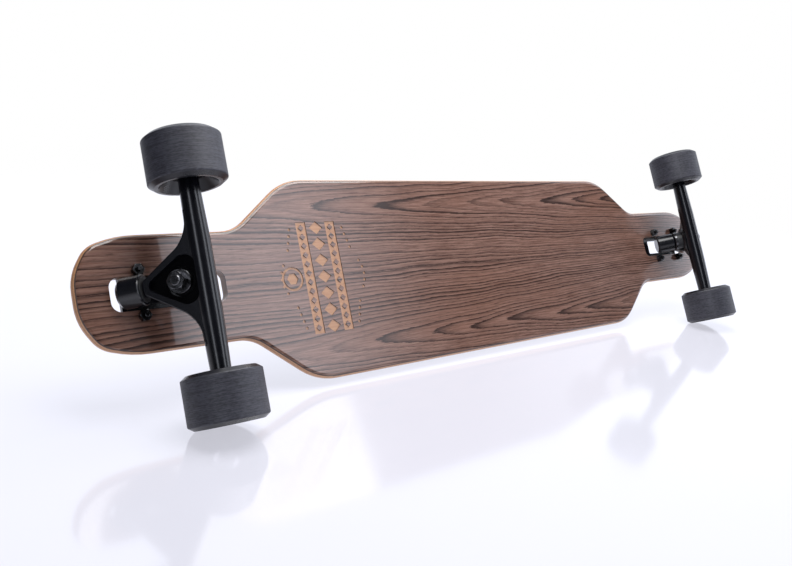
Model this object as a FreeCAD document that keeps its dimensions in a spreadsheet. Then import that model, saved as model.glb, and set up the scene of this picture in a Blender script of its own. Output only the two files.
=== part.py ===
"""Drop-through longboard: a laminated deck on two reverse-kingpin trucks with four wheels.

The board stands on its wheels, +Z up, +X towards the front end, +Y to the left, with the origin on
the ground midway between the axles. Every length is in millimetres. Local frames:
truck frame   - on the ground under an axle, +X towards the near end of the board;
pivot frame   - where the kingpin crosses the pivot axis, +X up the pivot axis to the pivot cup,
                +Y along the axle, +Z up the kingpin towards the deck;
wheel frame   - at the wheel's centre, +Z along the axle, away from the board.
"""

import FreeCAD
import Part
import Sketcher
import math
import operator
import os

from FreeCAD import Placement, Rotation, Vector

SIZES = {
    # Deck outline: corners of a quarter of the outline, and the radius that rounds each of them
    "wheelbase": 797.0,
    "tip_reach": 492.5,
    "tip_half": 20.0,
    "tip_round": 50.0,
    "corner_reach": 477.0,
    "corner_half": 45.0,
    "corner_round": 26.0,
    "paddle_reach": 450.0,
    "paddle_half": 54.2,
    "paddle_round": 105.0,
    "neck_reach": 333.5,
    "neck_half": 54.0,
    "neck_round": 39.0,
    "shoulder_reach": 267.7,
    "body_half": 106.0,
    "shoulder_round": 66.0,
    # Deck section
    "deck_bottom": 88.5,
    "deck_thickness": 10.5,
    "deck_edge_round": 5.2,
    "veneer_thickness": 0.7,
    "grip_thickness": 0.9,
    "grip_inset": 5.6,
    "grip_gap": 1.5,
    # Slots for the trucks, in the truck frame
    "slot_inner": -46.5,
    "slot_outer": 64.0,
    "slot_half": 15.4,
    "slot_round": 9.0,
    # Ornament cut through the bottom veneer
    "ornament_centre": 239.0,
    "bar_offset": 18.2,
    "bar_half_width": 6.0,
    "bar_half_length": 59.0,
    "bar_island_reach": 3.4,
    "bar_island_pitch": 9.6,
    "gem_half_width": 8.5,
    "gem_half_height": 7.0,
    "gem_pitch": 17.5,
    "ring_offset": 39.0,
    "ring_outer": 12.5,
    "ring_island": 10.0,
    "ring_inner": 6.5,
    "dot_radius": 1.6,
    "dot_pitch": 7.2,
    # Baseplate, in the truck frame
    "axle_height": 35.0,
    "kingpin_offset": 21.0,
    "bolt_centre": 10.55,
    "bolt_spacing_long": 53.9,
    "bolt_spacing_spare": 63.5,
    "bolt_spacing_across": 41.3,
    "bolt_hole_radius": 2.75,
    "flange_inner": -32.5,
    "flange_outer": 51.5,
    "flange_half": 28.0,
    "flange_thickness": 5.0,
    "flange_round": 8.0,
    "window_inner": -20.0,
    "window_outer": 15.5,
    "window_half": 10.0,
    "window_round": 2.4,
    "rib_half": 11.0,
    "rib_bite": 3.0,
    "rib_toe_reach": 59.3,
    "rib_toe_height": 15.9,
    "rib_heel_reach": 38.0,
    "rib_heel_height": 37.1,
    "rib_saddle_reach": 35.2,
    "rib_saddle_height": 34.3,
    "rib_shoulder": 43.4,
    # Baseplate, along the kingpin and along the pivot axis
    "boss_radius": 13.0,
    "boss_collar_radius": 10.8,
    "boss_collar_length": 2.8,
    "boss_end": 49.0,
    "boss_bevel": 2.0,
    "kingpin_bore_radius": 4.9,
    "housing_start": 33.9,
    "housing_end": 55.5,
    "housing_radius": 14.2,
    "housing_rim": 0.8,
    "housing_bevel": 3.0,
    "cup_radius": 9.5,
    "cup_lip_radius": 11.5,
    "cup_lip": 0.9,
    "cup_end": 51.9,
    "pin_radius": 6.0,
    "pin_clearance": 0.06,
    "pin_end": 48.9,
    "pin_nose": 2.5,
    # Hanger, in the pivot frame
    "hanger_half": 92.0,
    "tube_end_radius": 8.8,
    "tube_mid_radius": 10.3,
    "tube_mid_half": 34.0,
    "web_road": 8.5,
    "web_deck": 6.0,
    "web_tip": 32.4,
    "web_tip_half": 5.6,
    "web_tip_round": 4.0,
    "web_waist": -3.6,
    "web_waist_half": 29.6,
    "web_foot": -13.6,
    "web_foot_half": 43.5,
    "web_root_half": 60.0,
    "neck_fillet": 25.0,
    "foot_fillet": 32.0,
    "pocket_depth": 6.5,
    "pocket_apex": 31.8,
    "pocket_base": -17.8,
    "pocket_base_half": 30.2,
    "pocket_apex_round": 6.0,
    "pocket_base_round": 11.0,
    "seat_radius": 13.2,
    "seat_height": 9.5,
    "road_seat": 4.5,
    "bowl_radius": 16.8,
    "bowl_foot_radius": 20.5,
    "bowl_height": 11.5,
    "bowl_bevel": 1.5,
    "hanger_bore_radius": 8.6,
    "hanger_edge_round": 1.6,
    # Kingpin stack, measured along the kingpin
    "kingpin_radius": 4.76,
    "kingpin_tail": 16.6,
    "kingpin_across": 14.3,
    "kingpin_head": 6.0,
    "kingpin_recess_gap": 0.2,
    "bushing_radius": 12.4,
    "bushing_narrow": 9.8,
    "bushing_edge": 1.2,
    "deck_bushing": 10.7,
    "road_bushing": 8.9,
    "bushing_hole": 5.0,
    "cup_thickness": 2.0,
    "cup_washer_lip": 1.3,
    "cup_washer_wall": 0.9,
    "kingpin_nut": 8.0,
    # Mounting bolts
    "bolt_radius": 2.4,
    "bolt_length": 25.4,
    "bolt_head_radius": 4.6,
    "bolt_head": 2.7,
    "bolt_socket_across": 3.2,
    "bolt_nut_across": 9.5,
    "bolt_nut": 6.3,
    # Axle hardware
    "axle_radius": 3.98,
    "axle_half": 127.0,
    "axle_bore_radius": 4.0,
    "washer_radius": 6.4,
    "washer": 1.0,
    "axle_nut_across": 12.7,
    "axle_nut": 8.0,
    "spacer_radius": 5.4,
    "spacer": 10.0,
    # Bearings, 8 x 22 x 7
    "bearing": 7.0,
    "bearing_radius": 11.0,
    "ball_pitch_radius": 7.5,
    "inner_land_radius": 6.05,
    "outer_land_radius": 8.95,
    "ball_radius": 1.985,
    "race_radius": 2.075,
    "cage_inner": 6.6,
    "cage_outer": 8.4,
    "cage_back": -2.6,
    "cage_front": 0.9,
    "cage_pocket": 2.1,
    "shield_inner": 6.5,
    "shield_thickness": 0.35,
    "shield_recess": 0.15,
    # Wheel
    "wheel_radius": 35.0,
    "tread_half": 19.5,
    "wheel_half": 23.2,
    "lip_radius": 30.0,
    "lip_inner_radius": 26.5,
    "dish_half": 12.5,
    "tread_round": 1.6,
    "lip_round": 1.2,
    "core_radius": 19.5,
    "core_half": 13.2,
    "core_bore": 9.5,
    "core_window_inner": 13.2,
    "core_window_outer": 17.2,
    "core_window_narrow": 3.4,
    "core_window_wide": 5.2,
    "core_window_depth": 4.0,
}

BALLS = 7
SPOKES = 8
GEMS = 7
BAR_ISLANDS = 12
TOUCH = 0.02
TRUCK_TURN = {"front": 0.0, "rear": 180.0}
SIDE_SIGN = {"left": 1.0, "right": -1.0}

doc = FreeCAD.newDocument("longboard")
parts = []


# ---------------------------------------------------------------- sizes that know their cell


class Size:
    """A number together with the sheet expression that gives it."""

    def __init__(self, value, text):
        self.value = float(value)
        self.text = text

    def __float__(self):
        return self.value

    def __neg__(self):
        return Size(-self.value, f"(0 - {self.text})")

    def __add__(self, other):
        return combine(self, other, operator.add, "+")

    def __sub__(self, other):
        return combine(self, other, operator.sub, "-")

    def __mul__(self, other):
        return combine(self, other, operator.mul, "*")

    def __truediv__(self, other):
        return combine(self, other, operator.truediv, "/")


class Sizes:
    """The driving dimensions by name."""


def combine(first, second, action, sign):
    """Works out a new size, both as a number and as an expression."""
    other = second if isinstance(second, Size) else Size(second, repr(float(second)))
    return Size(action(first.value, other.value), f"({first.text} {sign} {other.text})")


def write_sheet():
    """Puts the driving dimensions in a sheet and returns them as sizes."""
    sheet = doc.addObject("Spreadsheet::Sheet", "Sheet")
    sizes = Sizes()
    for row, (name, value) in enumerate(SIZES.items(), start=1):
        sheet.set(f"A{row}", name)
        sheet.set(f"B{row}", str(value))
        sheet.setAlias(f"B{row}", name)
        setattr(sizes, name, Size(value, f"Sheet.{name}"))
    doc.recompute()
    return sizes


d = write_sheet()


# ---------------------------------------------------------------- bodies, sketches and features


def new_body(label, place=Placement()):
    """An empty body at its place in the row frame."""
    body = doc.addObject("PartDesign::Body", label)
    body.Label = label
    body.AllowCompound = True
    body.Placement = place
    return body


def origin_item(body, role):
    """One of the body's own origin planes or axes."""
    return next(item for item in body.Origin.OriginFeatures if item.Role == role)


def new_sketch(body, plane="XY_Plane", offset=Placement(), height=None):
    """A sketch on an origin plane, moved by an offset or lifted to a height along its normal."""
    sketch = body.newObject("Sketcher::SketchObject", f"{body.Label}_sketch")
    sketch.AttachmentSupport = [(origin_item(body, plane), "")]
    sketch.MapMode = "FlatFace"
    sketch.AttachmentOffset = offset
    if height is not None:
        sketch.AttachmentOffset = Placement(Vector(0, 0, float(height)), Rotation())
        sketch.setExpression("AttachmentOffset.Base.z", height.text)
    return sketch


def hold_point(sketch, shape_index, point_index, x, y):
    """Holds one point of a sketch at its two distances from the sketch's origin."""
    for kind, axis, value in (("DistanceX", -2, x), ("DistanceY", -1, y)):
        if float(value) == 0:
            sketch.addConstraint(Sketcher.Constraint("PointOnObject", shape_index, point_index, axis))
            continue
        rule = Sketcher.Constraint(kind, -1, 1, shape_index, point_index, float(value))
        number = sketch.addConstraint(rule)
        if isinstance(value, Size):
            sketch.setExpression(f"Constraints[{number}]", value.text)


def add_outline(sketch, corners):
    """Adds a closed outline of straight lines through the corners."""
    start = sketch.GeometryCount
    points = [Vector(float(x), float(y), 0) for x, y in corners]
    count = len(points)
    for index, point in enumerate(points):
        sketch.addGeometry(Part.LineSegment(point, points[(index + 1) % count]), False)
    for index in range(count):
        following = start + (index + 1) % count
        sketch.addConstraint(Sketcher.Constraint("Coincident", start + index, 2, following, 1))
    for index, (x, y) in enumerate(corners):
        hold_point(sketch, start + index, 1, x, y)


def add_circle(sketch, x, y, radius):
    """Adds a circle held by its centre and its radius."""
    circle = Part.Circle(Vector(float(x), float(y), 0), Vector(0, 0, 1), float(radius))
    index = sketch.addGeometry(circle, False)
    number = sketch.addConstraint(Sketcher.Constraint("Radius", index, float(radius)))
    sketch.setExpression(f"Constraints[{number}]", radius.text)
    hold_point(sketch, index, 3, x, y)


def box_corners(x_low, x_high, y_low, y_high):
    """The four corners of a rectangle."""
    return [(x_low, y_low), (x_high, y_low), (x_high, y_high), (x_low, y_high)]


def hexagon_corners(across):
    """The corners of a hexagon with the given distance between its flats."""
    point = across / math.sqrt(3)
    half = across / 2
    upper = [(point, 0), (point / 2, half), (-point / 2, half)]
    return upper + [(-x, -y) for x, y in upper]


def add_feature(body, kind, sketch, axis=None, **settings):
    """Adds a sketch-based feature; settings given as sizes are bound to the sheet."""
    feature = body.newObject(f"PartDesign::{kind}", f"{body.Label}_{kind}")
    feature.Profile = sketch
    if axis:
        feature.ReferenceAxis = (sketch, [axis])
        feature.Angle = 360
    for name, value in settings.items():
        if isinstance(value, Size):
            feature.setExpression(name, value.text)
        else:
            setattr(feature, name, value)
    doc.recompute()
    return feature


def pad(body, sketch, length, **settings):
    """Adds material from the sketch along its normal."""
    return add_feature(body, "Pad", sketch, Length=length, **settings)


def cut_through(body, sketch):
    """Cuts the sketch's outline through everything, both ways."""
    return add_feature(body, "Pocket", sketch, Type="ThroughAll", Midplane=True)


def cut_up(body, sketch, depth):
    """Cuts the sketch's outline along its normal to a depth."""
    return add_feature(body, "Pocket", sketch, Length=depth, Reversed=True)


def turn(body, corners, offset=Placement(), plane="XZ_Plane", axis="V_Axis", kind="Revolution"):
    """Turns a closed outline about an axis of its own sketch, to add material or cut it."""
    sketch = new_sketch(body, plane, offset)
    add_outline(sketch, corners)
    return add_feature(body, kind, sketch, axis=axis)


def turned_body(label, place, corners):
    """A body of revolution about its own Z axis, from (radius, height) corners."""
    body = new_body(label, place)
    turn(body, corners)
    return body


def round_edges(body, test, radius):
    """Rounds every edge of the body so far that passes the test."""
    base = body.Tip
    names = [f"Edge{number}" for number, edge in enumerate(base.Shape.Edges, start=1) if test(edge)]
    fillet = body.newObject("PartDesign::Fillet", f"{body.Label}_fillet")
    fillet.Base = (base, names)
    fillet.setExpression("Radius", radius.text)
    body.Tip = fillet
    doc.recompute()


def stands_at(points):
    """A test for straight edges along Z that stand at one of the points."""

    def test(edge):
        first = edge.Vertexes[0].Point
        last = edge.Vertexes[-1].Point
        if math.hypot(first.x - last.x, first.y - last.y) > TOUCH or abs(first.z - last.z) < TOUCH:
            return False
        return any(math.hypot(first.x - float(x), first.y - float(y)) < TOUCH for x, y in points)

    return test


def lies_at(*heights):
    """A test for edges that lie flat at one of the heights."""

    def test(edge):
        box = edge.BoundBox
        return any(abs(box.ZMin - float(z)) < TOUCH and abs(box.ZMax - float(z)) < TOUCH for z in heights)

    return test


def is_circle(radius, *heights):
    """A test for circular edges of one radius at one of the heights."""
    flat = lies_at(*heights)

    def test(edge):
        return flat(edge) and hasattr(edge.Curve, "Radius") and abs(edge.Curve.Radius - float(radius)) < TOUCH

    return test


def mirror_body(body, plane):
    """Repeats the whole body so far on the other side of an origin plane."""
    mirrored = body.newObject("PartDesign::Mirrored", f"{body.Label}_mirrored")
    mirrored.TransformMode = "Whole shape"
    mirrored.MirrorPlane = (origin_item(body, plane), [""])
    body.Tip = mirrored
    doc.recompute()


def spread_body(body, axis, length, count=2):
    """Repeats the whole body so far in a straight row."""
    row = body.newObject("PartDesign::LinearPattern", f"{body.Label}_row")
    row.TransformMode = "Whole shape"
    row.Direction = (origin_item(body, axis), [""])
    row.setExpression("Length", length.text)
    row.Occurrences = count
    body.Tip = row
    doc.recompute()


def ring_of(body, feature, count):
    """Repeats one feature round the body's Z axis."""
    ring = body.newObject("PartDesign::PolarPattern", f"{body.Label}_ring")
    ring.Originals = [feature]
    ring.Axis = (origin_item(body, "Z_Axis"), [""])
    ring.Angle = 360
    ring.Occurrences = count
    body.Tip = ring
    doc.recompute()


def subtract_body(body, tool):
    """Cuts a whole body out of another."""
    boolean = body.newObject("PartDesign::Boolean", f"{body.Label}_boolean")
    boolean.Type = "Cut"
    boolean.setObjects([tool])
    body.Tip = boolean
    doc.recompute()


def keep(thing):
    """Marks an object as one of the finished sub-parts."""
    parts.append(thing)
    return thing


# ---------------------------------------------------------------- places


def truck_place(end):
    """The truck frame of one end."""
    turn_about_z = Rotation(Vector(0, 0, 1), TRUCK_TURN[end])
    return Placement(turn_about_z.multVec(Vector(float(d.wheelbase) / 2, 0, 0)), turn_about_z)


def tilt():
    """The pivot axis leans 45 degrees between the ground and the board."""
    return Rotation(Vector(0, 1, 0), -45)


def pivot_origin():
    """Where the kingpin crosses the pivot axis, in the truck frame."""
    step = float(d.kingpin_offset) / math.sqrt(2)
    return Vector(step, 0, float(d.axle_height) + step)


def pivot_place(end):
    """The pivot frame of one end."""
    return truck_place(end).multiply(Placement(pivot_origin(), tilt()))


def axle_place(end):
    """The pivot frame moved down the pivot axis to the axle, with +Z along the axle."""
    down = Placement(Vector(-float(d.kingpin_offset), 0, 0), Rotation(Vector(1, 0, 0), -90))
    return pivot_place(end).multiply(down)


def wheel_place(end, side):
    """The wheel frame of one wheel."""
    reach = math.copysign(float(d.wheelbase) / 2, 1 if end == "front" else -1)
    centre = Vector(reach, SIDE_SIGN[side] * float(wheel_centre()), float(d.axle_height))
    return Placement(centre, Rotation(Vector(1, 0, 0), -90 * SIDE_SIGN[side]))


def bearing_start():
    """How far along the axle the first bearing starts."""
    return d.hanger_half + d.washer


def wheel_centre():
    """How far along the axle the middle of a wheel is."""
    return bearing_start() + d.bearing + d.spacer / 2


def tilted_sketch(body):
    """A sketch in the truck's middle plane, +X up the pivot axis and +Y up the kingpin."""
    origin = pivot_origin()
    turned = Rotation(Vector(0, 0, 1), 45)
    return new_sketch(body, "XZ_Plane", Placement(Vector(origin.x, origin.z, 0), turned))


# ---------------------------------------------------------------- deck


def mirrored_corners(quarter):
    """The whole outline from its quarter with positive distances."""
    left = quarter + [(-x, y) for x, y in reversed(quarter)]
    return left + [(x, -y) for x, y in reversed(left)]


def slot_corners():
    """The two slots, as lists of corners."""
    half = d.wheelbase / 2
    inner, outer = half + d.slot_inner, half + d.slot_outer
    return [
        box_corners(inner, outer, -d.slot_half, d.slot_half),
        box_corners(-outer, -inner, -d.slot_half, d.slot_half),
    ]


def deck_blank():
    """The whole deck before it is split into veneer and core."""
    body = new_body("deck_blank")
    quarter = [
        (d.tip_reach, d.tip_half, d.tip_round),
        (d.corner_reach, d.corner_half, d.corner_round),
        (d.paddle_reach, d.paddle_half, d.paddle_round),
        (d.neck_reach, d.neck_half, d.neck_round),
        (d.shoulder_reach, d.body_half, d.shoulder_round),
    ]
    sketch = new_sketch(body, height=d.deck_bottom)
    add_outline(sketch, mirrored_corners([(x, y) for x, y, _ in quarter]))
    pad(body, sketch, d.deck_thickness)
    for x, y, radius in quarter:
        round_edges(body, stands_at(mirrored_corners([(x, y)])), radius)
    round_edges(body, lies_at(d.deck_bottom, d.deck_bottom + d.deck_thickness), d.deck_edge_round)
    slots = new_sketch(body)
    for corners in slot_corners():
        add_outline(slots, corners)
    cut_through(body, slots)
    all_corners = [corner for corners in slot_corners() for corner in corners]
    round_edges(body, stands_at(all_corners), d.slot_round)
    holes = new_sketch(body)
    for sign in (1, -1):
        for along in (-1, 1):
            for across in (-1, 1):
                x = (d.wheelbase / 2 + d.bolt_centre + d.bolt_spacing_long * (along / 2)) * sign
                add_circle(holes, x, d.bolt_spacing_across * (across / 2), d.bolt_hole_radius)
    cut_through(body, holes)
    return body


def slab(name, bottom, thickness):
    """A box that takes one layer out of the deck."""
    box = doc.addObject("Part::Box", name)
    margin = 10
    box.setExpression("Length", (d.tip_reach * 2 + margin).text)
    box.setExpression("Width", (d.body_half * 2 + margin).text)
    box.setExpression("Height", thickness.text)
    box.setExpression("Placement.Base.x", (-(d.tip_reach + margin / 2)).text)
    box.setExpression("Placement.Base.y", (-(d.body_half + margin / 2)).text)
    box.setExpression("Placement.Base.z", bottom.text)
    return box


def layer(label, blank, bottom, thickness):
    """One layer of the deck."""
    common = doc.addObject("Part::Common", label)
    common.Base = blank
    common.Tool = slab(f"{label}_slab", bottom, thickness)
    return common


def prism(points):
    """A flat shape through the points, as deep as the bottom veneer."""
    corners = [Vector(x, y, float(d.deck_bottom)) for x, y in points]
    face = Part.Face(Part.makePolygon(corners + corners[:1]))
    return face.extrude(Vector(0, 0, float(d.veneer_thickness)))


def diamond(x, y, half_width, half_height):
    """A diamond prism."""
    return prism([(x + half_width, y), (x, y + half_height), (x - half_width, y), (x, y - half_height)])


def disc(x, y, radius):
    """A round prism."""
    return Part.makeCylinder(radius, float(d.veneer_thickness), Vector(x, y, float(d.deck_bottom)))


def row_places(count, pitch):
    """Evenly spaced distances either side of zero."""
    return [(index - (count - 1) / 2) * pitch for index in range(count)]


def ornament_shape():
    """Plain bars, diamonds, rings and dots, as one shape to cut out of the bottom veneer."""
    middle = float(d.ornament_centre)
    pieces = []
    for side in (-1, 1):
        x = middle + side * float(d.bar_offset)
        half, length = float(d.bar_half_width), float(d.bar_half_length)
        bar = prism([(x - half, -length), (x + half, -length), (x + half, length), (x - half, length)])
        reach = float(d.bar_island_reach)
        islands = [diamond(x, y, reach, reach) for y in row_places(BAR_ISLANDS, float(d.bar_island_pitch))]
        pieces.append(bar.cut(islands))
        radius, pitch = float(d.dot_radius), float(d.dot_pitch)
        for y in row_places(5, pitch):
            dots_x = middle + side * (float(d.ring_offset) + float(d.ring_outer))
            bulge = y * y / (4 * float(d.ring_outer))
            pieces.append(disc(dots_x - side * bulge, y, radius))
        for flank in (-1, 1):
            for step in range(4):
                y = flank * (30 + step * pitch)
                pieces.append(disc(middle + side * (float(d.ring_offset) - 2 * step), y, radius))
    for y in row_places(GEMS, float(d.gem_pitch)):
        pieces.append(diamond(middle, y, float(d.gem_half_width), float(d.gem_half_height)))
    x = middle + float(d.ring_offset)
    ring = disc(x, 0, float(d.ring_outer)).cut(disc(x, 0, float(d.ring_island)))
    spokes = [(math.cos(math.radians(60 * n)), math.sin(math.radians(60 * n))) for n in range(6)]
    star = prism([(x + float(d.ring_inner) * c, float(d.ring_inner) * s) for c, s in spokes])
    pieces += [ring, star]
    return Part.makeCompound(pieces)


def bottom_veneer(blank):
    """The stained face veneer with the ornament cut out of it."""
    tool = doc.addObject("Part::Feature", "ornament")
    tool.Shape = ornament_shape()
    cut = doc.addObject("Part::Cut", "bottom_veneer")
    cut.Base = layer("veneer_sheet", blank, d.deck_bottom, d.veneer_thickness)
    cut.Tool = tool
    return cut


def tape_cutter(inner, outer, half, corner_round):
    """A round-cornered block that clears the grip sheet round one hole, in the front truck's place."""
    margin = float(d.grip_gap)
    low = float(d.wheelbase) / 2 + float(inner) - margin
    high = float(d.wheelbase) / 2 + float(outer) + margin
    width = float(half) + margin
    bottom = float(d.deck_bottom + d.deck_thickness) - 1
    box = Part.makeBox(high - low, 2 * width, 4, Vector(low, -width, bottom))
    uprights = [edge for edge in box.Edges if abs(edge.Vertexes[0].Z - edge.Vertexes[-1].Z) > 1]
    return box.makeFillet(float(corner_round) + margin, uprights)


def grip_tape(blank):
    """The grip sheet on top, cut back round the deck's edge, the slots and both baseplates."""
    top = float(d.deck_bottom + d.deck_thickness)
    face = max((f for f in blank.Shape.Faces if abs(f.CenterOfMass.z - top) < TOUCH), key=lambda f: f.Area)
    outer = Part.Face(face.OuterWire).makeOffset2D(float(d.deck_edge_round - d.grip_inset))
    sheet = outer.extrude(Vector(0, 0, float(d.grip_thickness)))
    for turned in (0, 180):
        flange = tape_cutter(d.flange_inner, d.flange_outer, d.flange_half, d.flange_round)
        slot = tape_cutter(d.slot_inner, d.slot_outer, d.slot_half, d.slot_round)
        for cutter in (flange, slot):
            cutter.rotate(Vector(0, 0, 0), Vector(0, 0, 1), turned)
            sheet = sheet.cut(cutter)
    feature = doc.addObject("Part::Feature", "grip_tape")
    feature.Shape = sheet
    return feature


def make_deck():
    """The deck's layers."""
    blank = deck_blank()
    core_bottom = d.deck_bottom + d.veneer_thickness
    core = layer("deck_core", blank, core_bottom, d.deck_thickness - d.veneer_thickness)
    keep(core)
    keep(bottom_veneer(blank))
    keep(grip_tape(blank))
    doc.recompute()


# ---------------------------------------------------------------- truck


def deck_seat():
    """Height along the kingpin of the hanger's seat for the deck-side bushing."""
    return d.seat_height


def boss_start():
    """Height along the kingpin of the boss's face, on top of the bushing and its washer."""
    return deck_seat() + d.deck_bushing + d.cup_thickness


def flange(body):
    """The flat plate that lies on the deck, with its bolt holes and the window for the boss."""
    plate = new_sketch(body, height=d.deck_bottom + d.deck_thickness)
    corners = box_corners(d.flange_inner, d.flange_outer, -d.flange_half, d.flange_half)
    add_outline(plate, corners)
    pad(body, plate, d.flange_thickness)
    round_edges(body, stands_at(corners), d.flange_round)
    openings = new_sketch(body)
    window = box_corners(d.window_inner, d.window_outer, -d.window_half, d.window_half)
    add_outline(openings, window)
    half_spacing = d.bolt_spacing_long * 0.5
    for along in (-half_spacing, half_spacing, half_spacing - d.bolt_spacing_spare):
        for across in (-0.5, 0.5):
            add_circle(openings, d.bolt_centre + along, d.bolt_spacing_across * across, d.bolt_hole_radius)
    cut_through(body, openings)
    round_edges(body, stands_at(window), d.window_round)


def rib(body):
    """The web that joins the boss, the housing and the flange."""
    sketch = tilted_sketch(body)
    bite = d.rib_bite
    collar_top = boss_start() + d.boss_collar_length
    corners = [
        (d.boss_radius - bite * 2, collar_top),
        (d.boss_radius, collar_top),
        (d.housing_start, d.housing_radius),
        (d.housing_start + bite * 2, d.housing_radius - bite),
        (d.housing_end - bite, d.housing_radius - bite),
        (d.housing_end, d.housing_radius),
        (d.rib_toe_reach, d.rib_toe_height),
        (d.rib_heel_reach, d.rib_heel_height),
        (d.rib_saddle_reach, d.rib_saddle_height),
        (d.boss_radius, d.rib_shoulder),
        (d.boss_radius - bite * 2, d.rib_shoulder),
    ]
    add_outline(sketch, corners)
    pad(body, sketch, d.rib_half * 2, Midplane=True)


def kingpin_boss(body):
    """The collared cylinder round the kingpin."""
    sketch = tilted_sketch(body)
    corners = [
        (0, boss_start()),
        (d.boss_collar_radius, boss_start()),
        (d.boss_radius, boss_start() + d.boss_collar_length),
        (d.boss_radius, d.boss_end - d.boss_bevel),
        (d.boss_radius - d.boss_bevel, d.boss_end),
        (0, d.boss_end),
    ]
    add_outline(sketch, corners)
    add_feature(body, "Revolution", sketch, axis="V_Axis")


def pivot_housing(body):
    """The cylinder that holds the pivot cup."""
    sketch = tilted_sketch(body)
    corners = [
        (d.housing_start, 0),
        (d.housing_start, d.housing_radius - d.housing_rim),
        (d.housing_start + d.housing_rim, d.housing_radius),
        (d.housing_end - d.housing_bevel, d.housing_radius),
        (d.housing_end, d.housing_radius - d.housing_bevel),
        (d.housing_end, 0),
    ]
    add_outline(sketch, corners)
    add_feature(body, "Revolution", sketch, axis="H_Axis")


def baseplate(end):
    """Flange, rib, boss and housing in one casting, bored for the kingpin and the pivot cup."""
    body = new_body(f"{end}_baseplate", truck_place(end))
    flange(body)
    rib(body)
    kingpin_boss(body)
    pivot_housing(body)
    bore = tilted_sketch(body)
    add_outline(bore, box_corners(0, d.kingpin_bore_radius, boss_start() - 1, d.boss_end + 1))
    add_feature(body, "Groove", bore, axis="V_Axis")
    cup = tilted_sketch(body)
    add_outline(cup, box_corners(d.housing_start - 4, d.cup_end, 0, d.cup_radius))
    add_feature(body, "Groove", cup, axis="H_Axis")
    head_seat = d.boss_end - d.kingpin_head
    at_seat = Placement(Vector(0, 0, float(head_seat)), Rotation())
    recess = new_sketch(body, "XY_Plane", Placement(pivot_origin(), tilt()).multiply(at_seat))
    add_outline(recess, hexagon_corners(d.kingpin_across + d.kingpin_recess_gap))
    cut_up(body, recess, d.kingpin_head * 2)
    return body


def pivot_cup(end):
    """The soft bush in the pivot housing that the hanger's pin turns in."""
    body = new_body(f"{end}_pivot_cup", pivot_place(end))
    bore = d.pin_radius + d.pin_clearance
    mouth = d.housing_start - d.cup_lip
    floor = d.pin_end + 1
    corners = [
        (mouth, bore),
        (mouth, d.cup_lip_radius),
        (d.housing_start, d.cup_lip_radius),
        (d.housing_start, d.cup_radius),
        (d.cup_end, d.cup_radius),
        (d.cup_end, 0),
        (floor, 0),
        (floor, bore),
    ]
    turn(body, corners, axis="H_Axis")
    return body


def hanger_pocket(end):
    """The rounded triangle and the bushing well cut into the hanger's road face, as a solid."""
    body = new_body(f"{end}_hanger_pocket")
    apex = [(d.pocket_apex, 0)]
    base = [(d.pocket_base, d.pocket_base_half), (d.pocket_base, -d.pocket_base_half)]
    sketch = new_sketch(body, height=-(d.web_road + 1))
    add_outline(sketch, apex + base)
    pad(body, sketch, d.pocket_depth + 1)
    round_edges(body, stands_at(apex), d.pocket_apex_round)
    round_edges(body, stands_at(base), d.pocket_base_round)
    well = new_sketch(body, height=-(d.web_road + 1))
    add_circle(well, 0, 0, d.seat_radius)
    pad(body, well, d.web_road + 1 + d.road_seat)
    return body


def hanger(end):
    """The casting that carries the axle and turns on the pivot pin."""
    body = new_body(f"{end}_hanger", pivot_place(end))
    half_web = [
        (d.web_tip, d.web_tip_half),
        (d.web_waist, d.web_waist_half),
        (d.web_foot, d.web_foot_half),
        (d.web_foot, d.web_root_half),
        (-d.kingpin_offset, d.web_root_half),
    ]
    corners = half_web + [(x, -y) for x, y in reversed(half_web)]
    web = new_sketch(body, height=-d.web_road)
    add_outline(web, corners)
    pad(body, web, d.web_road + d.web_deck)
    for index, radius in ((0, d.web_tip_round), (1, d.neck_fillet), (2, d.foot_fillet)):
        x, y = half_web[index]
        round_edges(body, stands_at([(x, y), (x, -y)]), radius)
    round_edges(body, lies_at(-d.web_road, d.web_deck), d.hanger_edge_round)
    at_axle = Placement(Vector(-float(d.kingpin_offset), 0, 0), Rotation())
    outline = [
        (0, -d.hanger_half),
        (d.tube_end_radius, -d.hanger_half),
        (d.tube_mid_radius, -d.tube_mid_half),
        (d.tube_mid_radius, d.tube_mid_half),
        (d.tube_end_radius, d.hanger_half),
        (0, d.hanger_half),
    ]
    turn(body, outline, at_axle, "XY_Plane")
    bowl_corners = [
        (0, 0),
        (d.bowl_foot_radius, 0),
        (d.bowl_foot_radius, d.web_deck),
        (d.bowl_radius, d.bowl_height - d.bowl_bevel),
        (d.bowl_radius - d.bowl_bevel, d.bowl_height),
        (0, d.bowl_height),
    ]
    turn(body, bowl_corners)
    subtract_body(body, hanger_pocket(end))
    pin_corners = [
        (d.web_tip - 6, 0),
        (d.web_tip - 6, d.pin_radius + 2),
        (d.web_tip, d.pin_radius + 2),
        (d.web_tip, d.pin_radius),
        (d.pin_end - d.pin_nose, d.pin_radius),
        (d.pin_end, d.pin_radius - d.pin_nose),
        (d.pin_end, 0),
    ]
    turn(body, pin_corners, axis="H_Axis")
    seat = new_sketch(body, height=d.seat_height)
    add_circle(seat, 0, 0, d.seat_radius)
    cut_up(body, seat, d.bowl_height)
    bore = new_sketch(body)
    add_circle(bore, 0, 0, d.hanger_bore_radius)
    cut_through(body, bore)
    reach = d.hanger_half + 1
    turn(body, box_corners(0, d.axle_bore_radius, -reach, reach), at_axle, "XY_Plane", kind="Groove")
    return body


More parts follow.
